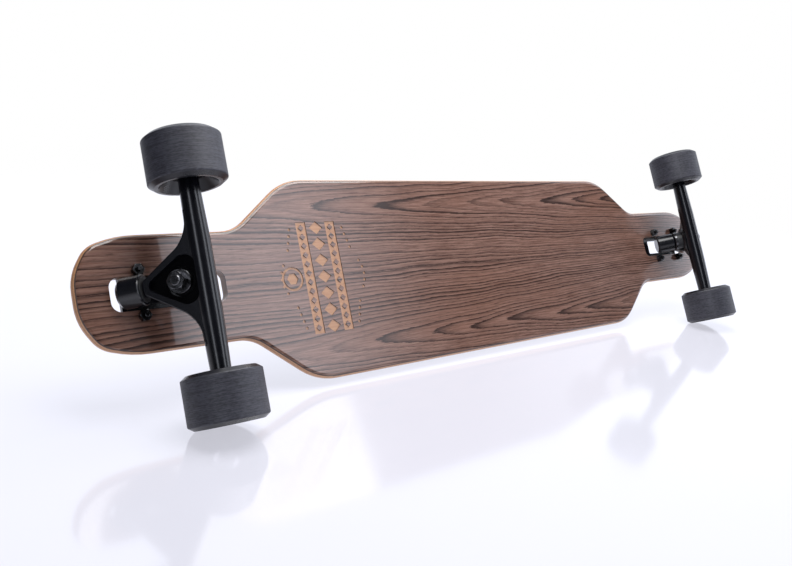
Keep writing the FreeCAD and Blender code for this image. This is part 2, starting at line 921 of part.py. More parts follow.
def nut_body(label, place, across, bore, low, height):
    """A hexagon nut about its own Z axis, with its corners turned off at both ends."""
    body = new_body(label, place)
    sketch = new_sketch(body, height=low)
    add_outline(sketch, hexagon_corners(across))
    add_circle(sketch, 0, 0, bore)
    pad(body, sketch, height)
    corner = across / math.sqrt(3)
    flat = across / 2
    for edge, step in ((low, 1), (low + height, -1)):
        depth = (corner - flat) * (0.6 * step)
        turn(body, [(flat, edge), (corner + 1, edge), (corner + 1, edge + depth * 2.2)], kind="Groove")
    return body


def kingpin(end):
    """The kingpin bolt, head up inside the boss."""
    body = new_body(f"{end}_kingpin", pivot_place(end))
    seat = d.boss_end - d.kingpin_head
    corners = [
        (0, -d.kingpin_tail),
        (d.kingpin_radius - 0.8, -d.kingpin_tail),
        (d.kingpin_radius, -d.kingpin_tail + 0.8),
        (d.kingpin_radius, seat),
        (0, seat),
    ]
    turn(body, corners)
    head = new_sketch(body, height=seat)
    add_outline(head, hexagon_corners(d.kingpin_across))
    pad(body, head, d.kingpin_head)
    return body


def kingpin_stack(end):
    """Bushings, cup washers and nut that the kingpin clamps round the hanger."""
    place = pivot_place(end)
    edge = d.bushing_edge
    seat = deck_seat()
    deck_top = seat + d.deck_bushing
    barrel = [
        (d.bushing_hole, seat),
        (d.bushing_radius - edge, seat),
        (d.bushing_radius, seat + edge),
        (d.bushing_radius, deck_top - edge),
        (d.bushing_radius - edge, deck_top),
        (d.bushing_hole, deck_top),
    ]
    keep(turned_body(f"{end}_boardside_bushing", place, barrel))
    keep(turned_body(f"{end}_boardside_cup_washer", place, cup_washer(deck_top, 1, d.bushing_radius)))
    road_end = d.road_seat - d.road_bushing
    cone = [
        (d.bushing_hole, d.road_seat),
        (d.bushing_radius - edge, d.road_seat),
        (d.bushing_radius, d.road_seat - edge),
        (d.bushing_narrow, road_end + d.cup_washer_lip),
        (d.bushing_narrow, road_end),
        (d.bushing_hole, road_end),
    ]
    keep(turned_body(f"{end}_roadside_bushing", place, cone))
    keep(turned_body(f"{end}_roadside_cup_washer", place, cup_washer(road_end, -1, d.bushing_narrow + 0.3)))
    nut_low = road_end - d.cup_thickness - d.kingpin_nut
    keep(nut_body(f"{end}_kingpin_nut", place, d.kingpin_across, d.kingpin_radius, nut_low, d.kingpin_nut))


def cup_washer(level, way, inside):
    """Corners of a dished washer whose lip reaches round the end of a bushing."""
    outside = inside + d.cup_washer_wall
    lip = level - d.cup_washer_lip * way
    back = level + d.cup_thickness * way
    return [
        (d.bushing_hole, level),
        (inside, level),
        (inside, lip),
        (outside, lip),
        (outside, back - way * 0.6),
        (outside - 0.6, back),
        (d.bushing_hole, back),
    ]


def mounting_bolts(end):
    """Four pan-head bolts down through flange and deck."""
    top = d.deck_bottom + d.deck_thickness + d.flange_thickness
    corner = truck_place(end).multiply(Placement(bolt_corner(), Rotation()))
    body = new_body(f"{end}_mounting_bolts", corner)
    corners = [
        (0, top - d.bolt_length),
        (d.bolt_radius - 0.5, top - d.bolt_length),
        (d.bolt_radius, top - d.bolt_length + 0.5),
        (d.bolt_radius, top),
        (d.bolt_head_radius, top),
        (d.bolt_head_radius, top + d.bolt_head * 0.4),
        (d.bolt_head_radius - 1.2, top + d.bolt_head),
        (0, top + d.bolt_head),
    ]
    turn(body, corners)
    socket = new_sketch(body, height=top + d.bolt_head * 0.3)
    add_outline(socket, hexagon_corners(d.bolt_socket_across))
    cut_up(body, socket, d.bolt_head)
    spread_bolts(body)
    return body


def bolt_corner():
    """The mounting bolt nearest the board's middle on the right, in the truck frame."""
    across = -float(d.bolt_spacing_across) / 2
    return Vector(float(d.bolt_centre) - float(d.bolt_spacing_long) / 2, across, 0)


def spread_bolts(body):
    """Repeats the body at the four mounting bolts."""
    spread_body(body, "X_Axis", d.bolt_spacing_long)
    spread_body(body, "Y_Axis", d.bolt_spacing_across)


def mounting_nuts(end):
    """Four lock nuts under the deck."""
    corner = truck_place(end).multiply(Placement(bolt_corner(), Rotation()))
    low = d.deck_bottom - d.bolt_nut
    body = nut_body(f"{end}_mounting_nuts", corner, d.bolt_nut_across, d.bolt_radius, low, d.bolt_nut)
    spread_bolts(body)
    return body


def axle(end):
    """The steel axle through the hanger."""
    reach = d.axle_half
    corners = [
        (0, -reach),
        (d.axle_radius - 0.8, -reach),
        (d.axle_radius, -reach + 0.8),
        (d.axle_radius, reach - 0.8),
        (d.axle_radius - 0.8, reach),
        (0, reach),
    ]
    return turned_body(f"{end}_axle", axle_place(end), corners)


def tube_corners(inside, outside, low, length):
    """Corners of a plain ring."""
    return [(inside, low), (outside, low), (outside, low + length), (inside, low + length)]


def axle_hardware(end):
    """Speed washers, inner rings, spacers and nuts on both ends of the axle."""
    place = axle_place(end)
    stack = d.bearing * 2 + d.spacer
    washers = turned_body(f"{end}_speed_washers", place,
                          tube_corners(d.axle_bore_radius, d.washer_radius, d.hanger_half, d.washer))
    spread_body(washers, "Z_Axis", stack + d.washer)
    ring_corners = tube_corners(d.axle_bore_radius, d.inner_land_radius, bearing_start(), d.bearing)
    rings = turned_body(f"{end}_bearing_inner_rings", place, ring_corners)
    cut_race(rings, bearing_start() + d.bearing / 2)
    spread_body(rings, "Z_Axis", d.bearing + d.spacer)
    spacer_low = bearing_start() + d.bearing
    spacer_corners = tube_corners(d.axle_bore_radius, d.spacer_radius, spacer_low, d.spacer)
    spacers = turned_body(f"{end}_bearing_spacers", place, spacer_corners)
    nut_low = bearing_start() + stack + d.washer
    nuts = nut_body(f"{end}_axle_nuts", place, d.axle_nut_across, d.axle_bore_radius, nut_low, d.axle_nut)
    for body in (washers, rings, spacers, nuts):
        mirror_body(body, "XY_Plane")
        keep(body)


def cut_race(body, height):
    """Cuts the groove that the balls run in."""
    sketch = new_sketch(body, "XZ_Plane")
    add_circle(sketch, d.ball_pitch_radius, height, d.race_radius)
    add_feature(body, "Groove", sketch, axis="V_Axis")


def make_truck(end):
    """Every sub-part of one truck."""
    keep(baseplate(end))
    keep(pivot_cup(end))
    keep(hanger(end))
    keep(kingpin(end))
    kingpin_stack(end)
    keep(mounting_bolts(end))
    keep(mounting_nuts(end))
    keep(axle(end))
    axle_hardware(end)


# ---------------------------------------------------------------- wheel


def tyre(name, place):
    """The cast urethane tyre with bevelled lips and dished sides."""
    half = [
        (d.core_radius, d.dish_half),
        (d.lip_inner_radius, d.wheel_half),
        (d.lip_radius, d.wheel_half),
        (d.wheel_radius, d.tread_half),
    ]
    corners = half + [(r, -z) for r, z in reversed(half)]
    body = turned_body(f"{name}_tyre", place, corners)
    round_edges(body, is_circle(d.wheel_radius, d.tread_half, -d.tread_half), d.tread_round)
    for radius in (d.lip_radius, d.lip_inner_radius):
        round_edges(body, is_circle(radius, d.wheel_half, -d.wheel_half), d.lip_round)
    return body


def core(name, place):
    """The moulded core with a bearing seat on each side and spokes between blind windows."""
    seat_end = d.spacer / 2
    half = [
        (d.core_bore, seat_end),
        (d.bearing_radius, seat_end),
        (d.bearing_radius, d.core_half - 0.4),
        (d.bearing_radius + 0.4, d.core_half),
        (d.core_radius, d.core_half),
    ]
    corners = half + [(r, -z) for r, z in reversed(half)]
    body = turned_body(f"{name}_core", place, corners)
    for side in (1, -1):
        sketch = new_sketch(body, height=d.core_half * side)
        window_corners = [
            (d.core_window_inner, -d.core_window_narrow),
            (d.core_window_outer, -d.core_window_wide),
            (d.core_window_outer, d.core_window_wide),
            (d.core_window_inner, d.core_window_narrow),
        ]
        add_outline(sketch, window_corners)
        window = add_feature(body, "Pocket", sketch, Length=d.core_window_depth, Reversed=side < 0)
        ring_of(body, window, SPOKES)
    return body


def bearing_middle():
    """Distance from the wheel's middle to the middle of a bearing."""
    return (d.spacer + d.bearing) / 2


def outer_rings(name, place):
    """The bearings' outer rings."""
    low = d.spacer / 2
    body = turned_body(f"{name}_bearing_outer_rings", place,
                       tube_corners(d.outer_land_radius, d.bearing_radius, low, d.bearing))
    cut_race(body, bearing_middle())
    mirror_body(body, "XY_Plane")
    return body


def shields(name, place):
    """Thin covers on both faces of each bearing."""
    first = d.spacer / 2 + d.shield_recess
    body = turned_body(f"{name}_bearing_shields", place,
                       tube_corners(d.shield_inner, d.outer_land_radius, first, d.shield_thickness))
    spread_body(body, "Z_Axis", d.bearing - d.shield_recess * 2 - d.shield_thickness)
    mirror_body(body, "XY_Plane")
    return body


def ball_sketch(body, radius):
    """Half a ball's outline, its flat side on an axis through the first ball's centre."""
    offset = Placement(Vector(float(d.ball_pitch_radius), float(bearing_middle()), 0), Rotation())
    sketch = new_sketch(body, "XZ_Plane", offset)
    arc = Part.Circle(Vector(0, 0, 0), Vector(0, 0, 1), float(radius))
    half = sketch.addGeometry(Part.ArcOfCircle(arc, -math.pi / 2, math.pi / 2), False)
    reach = float(radius)
    flat = sketch.addGeometry(Part.LineSegment(Vector(0, reach, 0), Vector(0, -reach, 0)), False)
    sketch.addConstraint(Sketcher.Constraint("Coincident", half, 2, flat, 1))
    sketch.addConstraint(Sketcher.Constraint("Coincident", flat, 2, half, 1))
    sketch.addConstraint(Sketcher.Constraint("Coincident", half, 3, -1, 1))
    sketch.addConstraint(Sketcher.Constraint("PointOnObject", flat, 1, -2))
    sketch.addConstraint(Sketcher.Constraint("PointOnObject", flat, 2, -2))
    number = sketch.addConstraint(Sketcher.Constraint("Radius", half, reach))
    sketch.setExpression(f"Constraints[{number}]", radius.text)
    return sketch


def balls(name, place):
    """The balls of both bearings."""
    body = new_body(f"{name}_bearing_balls", place)
    ball = add_feature(body, "Revolution", ball_sketch(body, d.ball_radius), axis="V_Axis")
    ring_of(body, ball, BALLS)
    mirror_body(body, "XY_Plane")
    return body


def cages(name, place):
    """The cages that keep the balls apart."""
    low = bearing_middle() + d.cage_back
    body = turned_body(f"{name}_bearing_cages", place,
                       tube_corners(d.cage_inner, d.cage_outer, low, d.cage_front - d.cage_back))
    pocket = add_feature(body, "Groove", ball_sketch(body, d.cage_pocket), axis="V_Axis")
    ring_of(body, pocket, BALLS)
    mirror_body(body, "XY_Plane")
    return body


def make_wheel(end, side):
    """Every sub-part that turns round one end of an axle."""
    name = f"{end}_{side}"
    place = wheel_place(end, side)
    for make in (tyre, core, outer_rings, shields, balls, cages):
        keep(make(name, place))


# ---------------------------------------------------------------- build and write


def check(thing):
    """Stops the build if a sub-part is broken."""
    broken = "Invalid" in thing.State or "Error" in thing.State
    if broken or thing.Shape.isNull() or not thing.Shape.isValid():
        raise RuntimeError(f"{thing.Label} is not a valid shape: {thing.State}")


make_deck()
for truck_end in TRUCK_TURN:
    make_truck(truck_end)
    for wheel_side in SIDE_SIGN:
        make_wheel(truck_end, wheel_side)
doc.recompute()
os.makedirs("parts", exist_ok=True)
for item in doc.Objects:
    if hasattr(item, "Shape"):
        check(item)
for part in parts:
    part.Shape.exportStep(f"parts/{part.Label}.step")
    print(part.Label, len(part.Shape.Solids), round(part.Shape.Volume))
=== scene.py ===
"""Looks of a drop-through longboard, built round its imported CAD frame. Metres, +Z up, +X front."""

import math

import bpy
from mathutils import Matrix, Vector


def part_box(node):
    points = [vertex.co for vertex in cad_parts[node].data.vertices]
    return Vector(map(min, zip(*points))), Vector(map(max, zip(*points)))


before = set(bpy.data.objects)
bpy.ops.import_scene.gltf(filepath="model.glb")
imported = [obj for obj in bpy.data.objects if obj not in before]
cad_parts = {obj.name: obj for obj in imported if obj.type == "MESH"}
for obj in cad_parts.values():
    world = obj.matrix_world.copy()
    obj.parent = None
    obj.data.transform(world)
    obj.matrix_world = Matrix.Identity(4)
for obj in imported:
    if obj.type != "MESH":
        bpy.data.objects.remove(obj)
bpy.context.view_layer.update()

ENDS = ("front", "rear")
SIDES = ("left", "right")
WHEELS = [f"{end}_{side}" for end in ENDS for side in SIDES]


# ---------------------------------------------------------------- measures read from the frame


def middle(node):
    """The centre of a CAD node's box."""
    low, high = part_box(node)
    return (Vector(low) + Vector(high)) / 2


DECK_LOW = Vector(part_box("deck_core")[0])


# ---------------------------------------------------------------- shader helpers


def opaque(value):
    """A colour of three numbers gets its alpha, and anything else stays as it is."""
    if isinstance(value, tuple) and len(value) == 3:
        return (*value, 1.0)
    return value


class Nodes:
    """A node tree with short calls for the usual maths."""

    def __init__(self, tree):
        self.tree = tree

    def add(self, kind, **settings):
        node = self.tree.nodes.new(kind)
        for name, value in settings.items():
            setattr(node, name, value)
        return node

    def join(self, source, target):
        self.tree.links.new(source, target)

    def feed(self, socket, value):
        """Links a socket's output, or sets a plain value."""
        if isinstance(value, bpy.types.NodeSocket):
            self.join(value, socket)
        else:
            socket.default_value = value

    def math(self, operation, *values, clamp=False):
        node = self.add("ShaderNodeMath", operation=operation, use_clamp=clamp)
        for socket, value in zip(node.inputs, values):
            self.feed(socket, value)
        return node.outputs[0]

    def vector(self, operation, *values):
        node = self.add("ShaderNodeVectorMath", operation=operation)
        for socket, value in zip(node.inputs, values):
            self.feed(socket, value)
        return node.outputs[0]

    def vector_number(self, operation, *values):
        node = self.add("ShaderNodeVectorMath", operation=operation)
        for socket, value in zip(node.inputs, values):
            self.feed(socket, value)
        return node.outputs["Value"]

    def parts(self, vector):
        node = self.add("ShaderNodeSeparateXYZ")
        self.join(vector, node.inputs[0])
        return node.outputs

    def joined(self, x, y, z):
        node = self.add("ShaderNodeCombineXYZ")
        for socket, value in zip(node.inputs, (x, y, z)):
            self.feed(socket, value)
        return node.outputs[0]

    def scaled(self, vector, scale):
        """The vector stretched by a different factor along each axis."""
        return self.vector("MULTIPLY", vector, Vector(scale))

    def noise(self, vector, scale=1.0, detail=3.0, roughness=0.5):
        node = self.add("ShaderNodeTexNoise")
        self.join(vector, node.inputs["Vector"])
        node.inputs["Scale"].default_value = scale
        node.inputs["Detail"].default_value = detail
        node.inputs["Roughness"].default_value = roughness
        return node.outputs[0]

    def cells(self, vector, scale):
        """The distance to the nearest of many scattered points."""
        node = self.add("ShaderNodeTexVoronoi")
        self.join(vector, node.inputs["Vector"])
        node.inputs["Scale"].default_value = scale
        return node.outputs["Distance"]

    def span(self, value, low, high, to_low=0.0, to_high=1.0, smooth=True):
        """Maps a value's range onto another, held at both ends."""
        node = self.add("ShaderNodeMapRange", interpolation_type="SMOOTHSTEP" if smooth else "LINEAR")
        for socket, item in zip(node.inputs, (value, low, high, to_low, to_high)):
            self.feed(socket, item)
        return node.outputs[0]

    def mix(self, factor, first, second):
        """A colour between two others."""
        node = self.add("ShaderNodeMix", data_type="RGBA")
        self.feed(node.inputs[0], factor)
        self.feed(node.inputs[6], opaque(first))
        self.feed(node.inputs[7], opaque(second))
        return node.outputs[2]

    def mix_value(self, factor, first, second):
        """A number between two others."""
        node = self.add("ShaderNodeMix", data_type="FLOAT")
        for socket, value in zip(node.inputs, (factor, None, first, second)):
            if value is not None:
                self.feed(socket, value)
        return node.outputs[0]

    def bump(self, height, distance, strength=1.0, under=None):
        node = self.add("ShaderNodeBump")
        node.inputs["Strength"].default_value = strength
        node.inputs["Distance"].default_value = distance
        self.join(height, node.inputs["Height"])
        if under is not None:
            self.join(under, node.inputs["Normal"])
        return node.outputs[0]


class Paint(Nodes):
    """A material being built from nodes."""

    def __init__(self, name):
        self.material = bpy.data.materials.new(name)
        self.material.use_nodes = True
        super().__init__(self.material.node_tree)
        self.tree.nodes.clear()
        self.surface = self.add("ShaderNodeBsdfPrincipled")
        self.output = self.add("ShaderNodeOutputMaterial")
        self.join(self.surface.outputs[0], self.output.inputs["Surface"])
        coordinates = self.add("ShaderNodeTexCoord")
        self.place = coordinates.outputs["Object"]
        self.normal = coordinates.outputs["Normal"]

    def set(self, **values):
        """Sets the surface's inputs by name, with underscores for spaces."""
        for name, value in values.items():
            self.feed(self.surface.inputs[name.replace("_", " ")], opaque(value))
        return self.material


def paint_nodes(material, *names):
    """Gives CAD nodes a material."""
    for name in names:
        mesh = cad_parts[name].data
        mesh.materials.clear()
        mesh.materials.append(material)


# ---------------------------------------------------------------- wood


# Grain of the bottom veneer: distance between rings along the board, how far out the arches peak, how
# blunt they are there, how many times closer the rings lie across the board, and how far they wander
GRAIN_PITCH = 0.072
ARCH_Y = 0.0765
ARCH_WIDTH = 0.011
ARCH_STEEPNESS = 20.0
GRAIN_WANDER = 0.018

VENEER_EARLY = (0.115, 0.056, 0.041)
VENEER_PALE = (0.245, 0.142, 0.110)
VENEER_WARM = (0.175, 0.080, 0.050)
VENEER_LATE = (0.018, 0.008, 0.006)
VENEER_PORE = (0.020, 0.008, 0.006)
VENEER_BURNT = (0.030, 0.013, 0.009)

# Edge of the deck: ply thickness, the heights above the core's underside between which the stain fades,
# and the distances from the board's middle between which the slots' tone fades at the sides and the ends
PLY_THICKNESS = 0.0014
STAIN_FADE = (0.0003, 0.0012)
SLOT_SIDE = (0.018, 0.022)
SLOT_INNER = (0.345, 0.350)
SLOT_OUTER = (0.464, 0.468)

# The darkest and lightest tone of the plies on edge, the glue between them, and the wood in the slots
LONG_PLY = ((0.50, 0.245, 0.12), (0.66, 0.37, 0.20))
CROSS_PLY = ((0.36, 0.17, 0.085), (0.48, 0.25, 0.13))
GLUE_TONE = (0.16, 0.065, 0.03)
SLOT_TONE = (0.20, 0.105, 0.065)


def growth_rings(paint):
    """A height whose level lines draw arches along both long edges and straight grain between them."""
    x, y, z = paint.parts(paint.place)
    wander = paint.noise(paint.scaled(paint.place, (5.0, 14.0, 0.0)), detail=2.0)
    y = paint.math("MULTIPLY_ADD", paint.math("SUBTRACT", wander, 0.5), GRAIN_WANDER, y)
    apart = paint.math("ABSOLUTE", y)
    offset = paint.math("SUBTRACT", apart, ARCH_Y)
    squares = paint.math("MULTIPLY_ADD", offset, offset, ARCH_WIDTH**2)
    rise = paint.math("SUBTRACT", paint.math("SQRT", squares), math.hypot(ARCH_Y, ARCH_WIDTH))
    fan = paint.math("MULTIPLY", x, paint.span(apart, 0.0, ARCH_Y, smooth=False))
    height = paint.math("MULTIPLY_ADD", rise, ARCH_STEEPNESS, fan)
    return paint.math("MULTIPLY", height, paint.math("SIGN", y)), paint.span(y, -0.0001, 0.0001)


def stained_veneer():
    """Dark stained wood: ring lines with feathered edges, fine fibre and open pores under a clear coat."""
    paint = Paint("stained_veneer")
    height, upper = growth_rings(paint)
    feather = paint.noise(paint.scaled(paint.place, (55.0, 700.0, 0.0)), detail=4.0, roughness=0.7)
    rings = paint.math("MULTIPLY_ADD", height, 1 / GRAIN_PITCH, paint.math("MULTIPLY", feather, 0.55))
    uneven = paint.noise(paint.joined(paint.math("MULTIPLY", rings, 0.45), 0.3, 0.0), detail=2.0)
    rings = paint.math("MULTIPLY_ADD", uneven, 1.7, rings)
    saw = paint.math("FRACT", rings)
    saw = paint.mix_value(upper, paint.math("SUBTRACT", 1.0, saw), saw)
    late = paint.math("POWER", saw, 2.8)
    late = paint.math("MULTIPLY", late, paint.span(saw, 1.0, 0.93))
    weight = paint.noise(paint.joined(paint.math("FLOOR", rings), 1.7, 0.0), scale=3.7, detail=1.0)
    line = paint.math("MULTIPLY", late, paint.span(weight, 0.35, 0.60, 0.55, 1.7), clamp=True)
    fibre = paint.noise(paint.scaled(paint.place, (24.0, 700.0, 0.0)), detail=4.0, roughness=0.7)
    pores = paint.span(paint.noise(paint.scaled(paint.place, (95.0, 1500.0, 0.0)), detail=2.0), 0.53, 0.64)
    pores = paint.math("MULTIPLY", pores, paint.span(saw, 0.1, 0.9, 0.25, 1.0))
    patch = paint.noise(paint.scaled(paint.place, (3.0, 9.0, 0.0)), detail=3.0)
    tone = paint.mix(paint.span(fibre, 0.32, 0.68), VENEER_EARLY, VENEER_PALE)
    tone = paint.mix(paint.span(patch, 0.4, 0.7, 0.0, 0.4), tone, VENEER_WARM)
    tone = paint.mix(paint.math("MULTIPLY", line, 0.93), tone, VENEER_LATE)
    tone = paint.mix(paint.math("MULTIPLY", pores, 0.55), tone, VENEER_PORE)
    facing_out = paint.math("ABSOLUTE", paint.parts(paint.normal)[2])
    tone = paint.mix(paint.span(facing_out, 0.75, 0.35), tone, VENEER_BURNT)
    relief = paint.math("MULTIPLY_ADD", line, -0.5, paint.math("MULTIPLY", fibre, 0.4))
    relief = paint.math("MULTIPLY_ADD", pores, -0.8, relief)
    return paint.set(Base_Color=tone, Roughness=paint.span(fibre, 0.2, 0.8, 0.26, 0.36), Coat_Weight=1.0,
                     Normal=paint.bump(relief, 0.00008, 0.35), Coat_Roughness=0.09, Specular_IOR_Level=0.1)


def ply_core():
    """Light and dark plies on edge, stained next to the bottom veneer and darker in the truck slots."""
    paint = Paint("ply_core")
    x, y, z = paint.parts(paint.place)
    ply = paint.math("MULTIPLY", paint.math("SUBTRACT", z, DECK_LOW.z), 1 / PLY_THICKNESS)
    odd = paint.math("MODULO", paint.math("FLOOR", ply), 2.0)
    edge = paint.math("ABSOLUTE", paint.math("SUBTRACT", paint.math("FRACT", ply), 0.5))
    glue = paint.span(edge, 0.42, 0.48)
    along = paint.noise(paint.scaled(paint.place, (30.0, 600.0, 2600.0)), detail=4.0)
    end_grain = paint.noise(paint.scaled(paint.place, (900.0, 900.0, 1500.0)), detail=3.0)
    long_ply = paint.mix(paint.span(along, 0.3, 0.7), *LONG_PLY)
    cross_ply = paint.mix(paint.span(end_grain, 0.3, 0.7), *CROSS_PLY)
    tone = paint.mix(odd, long_ply, cross_ply)
    tone = paint.mix(paint.math("MULTIPLY", glue, 0.5), tone, GLUE_TONE)
    stain_low, stain_high = (DECK_LOW.z + height for height in STAIN_FADE)
    stain = paint.span(z, stain_low, stain_high, 1.0, 0.0)
    outside = paint.span(paint.math("ABSOLUTE", paint.parts(paint.normal)[2]), 0.999, 0.97)
    tone = paint.mix(paint.math("MULTIPLY", stain, outside), tone, VENEER_BURNT)
    beside = paint.span(paint.math("ABSOLUTE", y), *SLOT_SIDE, 1.0, 0.0)
    reach = paint.math("ABSOLUTE", x)
    begun = paint.span(reach, *SLOT_INNER)
    not_ended = paint.span(reach, *SLOT_OUTER, 1.0, 0.0)
    within = paint.math("MULTIPLY", begun, not_ended)
    slot = paint.math("MULTIPLY", paint.math("MULTIPLY", beside, within), 0.8)
    tone = paint.mix(slot, tone, SLOT_TONE)
    return paint.set(Base_Color=tone, Roughness=paint.span(along, 0.2, 0.8, 0.30, 0.45), Coat_Weight=0.4,
                     Normal=paint.bump(paint.math("ADD", along, glue), 0.0001, 0.4), Coat_Roughness=0.2)


def grip_sheet():
    """Black grip tape: coarse grit, a little greyer where it is worn."""
    paint = Paint("grip_sheet")
    grit = paint.noise(paint.place, scale=2600.0, detail=3.0, roughness=0.7)
    spots = paint.cells(paint.place, scale=1500.0)
    worn = paint.noise(paint.place, scale=14.0, detail=4.0)
    tone = paint.mix(paint.span(grit, 0.4, 0.75), (0.012, 0.012, 0.013), (0.055, 0.055, 0.058))
    tone = paint.mix(paint.math("MULTIPLY", paint.span(worn, 0.5, 0.75), 0.3), tone, (0.06, 0.06, 0.062))
    normal = paint.bump(paint.math("SUBTRACT", grit, spots), 0.0004, 0.9)
    return paint.set(Base_Color=tone, Roughness=paint.span(grit, 0.3, 0.7, 0.75, 0.95), Normal=normal)


# ---------------------------------------------------------------- metal, plastic and rubber


# The dull floor of the hanger's pocket, darkened with painted shade: how far behind the middle of the
# roadside cup washer it lies, the distances from it between which the finish and the painted shade fade, how
# squarely a face has to look out, and the tone of the painted shade
POCKET_TO_WASHER = 0.0028
POCKET_FADE = (0.0010, 0.0016)
POCKET_FACING = (0.97, 0.995)
POCKET_SHADE_TONE = (0.0010, 0.0010, 0.0016)

# The tread's ground finish comes in between these distances from the wheel's axis
TREAD_EDGE = (0.0335, 0.0347)


def black_casting(name, pocket_at, pocket_out):
    """Gloss powder coat with a faint orange peel and some dust, but dull on the pocket's floor, which also
    gets painted shade.
    """
    paint = Paint(name)
    peel = paint.noise(paint.place, scale=700.0, detail=2.0)
    lumps = paint.noise(paint.place, scale=110.0, detail=3.0)
    dust = paint.noise(paint.place, scale=60.0, detail=5.0, roughness=0.7)
    tone = paint.mix(paint.span(dust, 0.45, 0.8), (0.0016, 0.0018, 0.0036), (0.0045, 0.0048, 0.0075))
    normal = paint.bump(lumps, 0.00006, 0.10, under=paint.bump(peel, 0.000004, 0.15))
    from_floor = paint.vector("SUBTRACT", paint.place, pocket_at)
    height = paint.math("ABSOLUTE", paint.vector_number("DOT_PRODUCT", from_floor, pocket_out))
    flat = paint.span(paint.vector_number("DOT_PRODUCT", paint.normal, pocket_out), *POCKET_FACING)
    # mask of the pocket's floor: a dull finish there, and painted shade
    dull_and_shaded = paint.math("MULTIPLY", flat, paint.span(height, *POCKET_FADE, 1.0, 0.0))
    rough = paint.mix_value(dull_and_shaded, paint.span(dust, 0.3, 0.8, 0.20, 0.30), 0.85)
    coat = paint.mix_value(dull_and_shaded, paint.span(dust, 0.3, 0.9, 1.0, 0.85), 0.06)
    # painted shade: the pocket's floor gets a darker tone than the rest of the casting
    tone = paint.mix(dull_and_shaded, tone, POCKET_SHADE_TONE)
    return paint.set(Base_Color=tone, Roughness=rough, Normal=normal, Coat_Normal=normal, Coat_Weight=coat,
                     Coat_Roughness=0.23, Specular_IOR_Level=0.04)


def plated_steel(name, tone_low, tone_high, rough_low, rough_high):
    """Plated or blackened steel, with faint brush marks and blotches."""
    paint = Paint(name)
    brushed = paint.noise(paint.scaled(paint.place, (300.0, 2500.0, 2500.0)), detail=3.0)
    blotch = paint.noise(paint.place, scale=150.0, detail=3.0)
    tone = paint.mix(blotch, tone_low, tone_high)
    normal = paint.bump(brushed, 0.00002, 0.25)
    return paint.set(Base_Color=tone, Metallic=1.0, Normal=normal,
                     Roughness=paint.span(blotch, 0.3, 0.7, rough_low, rough_high))


def soft_rubber():
    """The bushings' black rubber, slightly mottled."""
    paint = Paint("bushing_rubber")
    mottle = paint.noise(paint.place, scale=400.0, detail=4.0)
    tone = paint.mix(mottle, (0.010, 0.010, 0.011), (0.026, 0.026, 0.028))
    return paint.set(Base_Color=tone, Roughness=paint.span(mottle, 0.3, 0.7, 0.38, 0.52),
                     Normal=paint.bump(mottle, 0.00005, 0.3))


def moulded_plastic(name, low, high, roughness):
    """Moulded plastic between two tones, a little uneven in its gloss."""
    paint = Paint(name)
    mottle = paint.noise(paint.place, scale=500.0, detail=3.0)
    tone = paint.mix(mottle, low, high)
    rough = paint.span(mottle, 0.3, 0.7, roughness * 0.85, roughness * 1.15)
    return paint.set(Base_Color=tone, Roughness=rough, Normal=paint.bump(mottle, 0.00003, 0.25))


def urethane(name, centre):
    """Cast urethane: a stone-ground tread with fine lines round it, and smooth glossy lips."""
    paint = Paint(name)
    local = paint.vector("SUBTRACT", paint.place, centre)
    x, y, z = paint.parts(local)
    radius = paint.math("SQRT", paint.math("MULTIPLY_ADD", x, x, paint.math("MULTIPLY", z, z)))
    tread = paint.span(radius, *TREAD_EDGE)
    lines = paint.noise(paint.scaled(local, (45.0, 1900.0, 45.0)), detail=4.0, roughness=0.65)
    streaks = paint.noise(paint.scaled(local, (260.0, 700.0, 260.0)), detail=4.0, roughness=0.6)
    dust = paint.noise(local, scale=80.0, detail=4.0)
    ground = paint.math("MULTIPLY_ADD", streaks, 0.4, paint.math("MULTIPLY", lines, 0.6))
    matt = paint.mix(paint.span(ground, 0.38, 0.62), (0.010, 0.010, 0.015), (0.046, 0.046, 0.061))
    gloss = paint.mix(dust, (0.009, 0.009, 0.012), (0.016, 0.016, 0.020))
    tone = paint.mix(tread, gloss, matt)
    rough = paint.math("MULTIPLY_ADD", tread, 0.24, paint.span(dust, 0.3, 0.7, 0.26, 0.34))
    normal = paint.bump(paint.math("MULTIPLY", ground, tread), 0.00014, 0.5)
    return paint.set(Base_Color=tone, Roughness=rough, Normal=normal, Specular_IOR_Level=0.5)


# ---------------------------------------------------------------- stage


FLOOR_NORMAL = Vector((-0.0016, 0.9034, -0.4288)).normalized()
FLOOR_HEIGHT = -0.1435
CAMERA_AT = Vector((0.6996, -0.1150, -0.5822))
CAMERA_LOOK = Vector((-0.64267, 0.11740, 0.75709)).normalized()
CAMERA_UP = Vector((-0.07772, 0.97310, -0.21688)).normalized()
CAMERA_SENSOR = 36.0
CAMERA_LENS = 35.503
CAMERA_SHIFT = (-0.0127, -0.0060)

# Half the side of the floor, the distances from its middle between which it fades out, and its glow
FLOOR_REACH = 2.0
FLOOR_FADE = (1.1, 1.9)
FLOOR_TONES = ((0.20, 0.20, 0.225), (0.22, 0.22, 0.245))
FLOOR_GLOW = (0.90, 0.90, 1.0)
FLOOR_GLOW_LEVEL = 0.59

LAMP_AIM = Vector((-0.03, 0, 0))
LAMP_HEIGHT = 1.05
LAMP_SIZE = (1.15, 0.95)
LAMP_POWER = 25.5

WHITE = (1.0, 1.0, 1.0)
ROOM_TINT = (0.86, 0.90, 1.0)
ROOM_LEVEL = 0.06
# Each strip of light: where it starts, how softly, where it stops, how softly (all in degrees), its level
STRIPS = [
    (22.5, 2.0, 30.0, 14.0, 4.1),
    (57.5, 3.0, 75.0, 8.0, 2.6),
    (-58.0, 8.0, -44.0, 6.0, 3.6),
]


